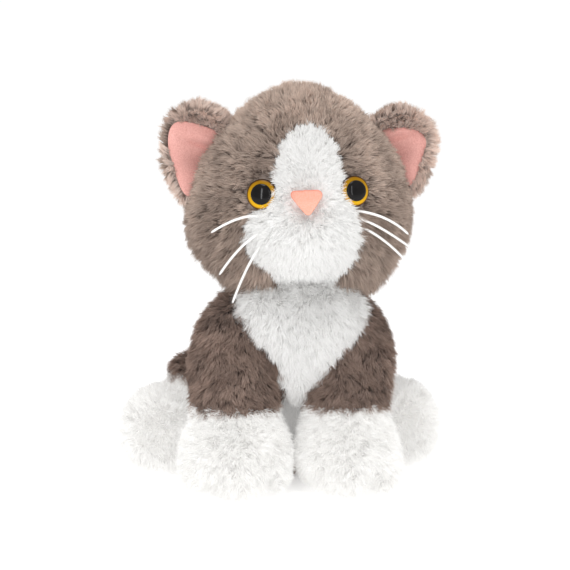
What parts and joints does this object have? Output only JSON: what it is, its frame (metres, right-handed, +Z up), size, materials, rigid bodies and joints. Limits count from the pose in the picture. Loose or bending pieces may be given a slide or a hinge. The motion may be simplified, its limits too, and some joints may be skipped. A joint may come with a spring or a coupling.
{
  "type": "plush cat",
  "caption": "Small sitting plush kitten in grey long pile with a white face, bib and feet, pink nose and ear linings, amber eyes and thread whiskers.",
  "frame": {"origin": "on the flat underside of the base panel, in the plane that the feet stand on", "axes": "+Z up, the cat faces -Y, and its left side is +X"},
  "size_m": [0.1628, 0.1848, 0.1977],
  "materials": {
    "grey_pile": "matte",
    "white_pile": "matte",
    "white_short_pile": "matte",
    "pink_velour": "matte",
    "pink_flock": "matte",
    "fibre_filling": "matte",
    "pouch_cloth": "matte",
    "amber_plastic": "gloss",
    "black_plastic": "gloss",
    "washer_plastic": "satin",
    "waxed_thread": "satin"
  },
  "bodies": {
    "torso": {"torso_left_panel": "grey_pile", "torso_right_panel": "grey_pile", "chest_bib": "white_pile", "base_panel": "grey_pile", "torso_stuffing": "fibre_filling", "pellet_pouch": "pouch_cloth"},
    "neck": {"neck_stuffing": "fibre_filling"},
    "head": {"head_left_panel": "grey_pile", "head_right_panel": "grey_pile", "face_panel": "white_pile", "head_stuffing": "fibre_filling", "nose": "pink_flock", "left_eye_iris": "amber_plastic", "left_eye_pupil": "black_plastic", "left_eye_washer": "washer_plastic", "right_eye_iris": "amber_plastic", "right_eye_pupil": "black_plastic", "right_eye_washer": "washer_plastic", "left_whisker_upper": "waxed_thread", "left_whisker_middle": "waxed_thread", "left_whisker_lower": "waxed_thread", "right_whisker_upper": "waxed_thread", "right_whisker_middle": "waxed_thread", "right_whisker_lower": "waxed_thread"},
    "left_ear": {"left_ear_back": "grey_pile", "left_ear_lining": "pink_velour"},
    "left_front_leg": {"left_front_sleeve": "grey_pile", "left_front_paw": "white_pile", "left_front_leg_stuffing": "fibre_filling"},
    "left_hind_leg": {"left_haunch": "grey_pile", "left_hind_foot": "white_pile", "left_hind_sole": "white_short_pile", "left_hind_leg_stuffing": "fibre_filling"},
    "right_ear": {"right_ear_back": "grey_pile", "right_ear_lining": "pink_velour"},
    "right_front_leg": {"right_front_sleeve": "grey_pile", "right_front_paw": "white_pile", "right_front_leg_stuffing": "fibre_filling"},
    "right_hind_leg": {"right_haunch": "grey_pile", "right_hind_foot": "white_pile", "right_hind_sole": "white_short_pile", "right_hind_leg_stuffing": "fibre_filling"},
    "tail": {"tail_skin": "grey_pile", "tail_stuffing": "fibre_filling"}
  },
  "joints": [
    {"name": "head_turn", "type": "hinge", "parent": "torso", "child": "neck", "pos_m": [0.01, 0.002, 0.1048], "axis": [0, 0, 1], "range_deg": [-35, 35], "stiffness_Nm_per_rad": 0.25},
    {"name": "head_nod", "type": "hinge", "parent": "neck", "child": "head", "pos_m": [0.01, 0.002, 0.1048], "axis": [1, 0, 0], "range_deg": [-7, 8], "stiffness_Nm_per_rad": 0.4},
    {"name": "left_front_leg_raise", "type": "hinge", "parent": "torso", "child": "left_front_leg", "pos_m": [0.0285, -0.024, 0.07], "axis": [-1, 0, 0], "range_deg": [0, 60], "stiffness_Nm_per_rad": 0.08},
    {"name": "left_hind_leg_raise", "type": "hinge", "parent": "torso", "child": "left_hind_leg", "pos_m": [0.034, 0.02, 0.027], "axis": [-1, 0, 0], "range_deg": [0, 35], "stiffness_Nm_per_rad": 0.08},
    {"name": "left_ear_fold", "type": "hinge", "parent": "head", "child": "left_ear", "pos_m": [0.0554, -0.002, 0.16597], "axis": [0.5116, -0.0171, -0.859], "range_deg": [-18, 8], "stiffness_Nm_per_rad": 0.01},
    {"name": "right_front_leg_raise", "type": "hinge", "parent": "torso", "child": "right_front_leg", "pos_m": [-0.0235, -0.024, 0.07], "axis": [-1, 0, 0], "range_deg": [0, 60], "stiffness_Nm_per_rad": 0.08},
    {"name": "right_hind_leg_raise", "type": "hinge", "parent": "torso", "child": "right_hind_leg", "pos_m": [-0.034, 0.02, 0.027], "axis": [-1, 0, 0], "range_deg": [0, 35], "stiffness_Nm_per_rad": 0.08},
    {"name": "right_ear_fold", "type": "hinge", "parent": "head", "child": "right_ear", "pos_m": [-0.03871, 0.00129, 0.1635], "axis": [0.466, -0.0171, 0.8846], "range_deg": [-18, 8], "stiffness_Nm_per_rad": 0.01},
    {"name": "tail_swing", "type": "hinge", "parent": "torso", "child": "tail", "pos_m": [0.003, 0.0505, 0.012], "axis": [0, 0, 1], "range_deg": [-25, 25], "stiffness_Nm_per_rad": 0.03}
  ]
}
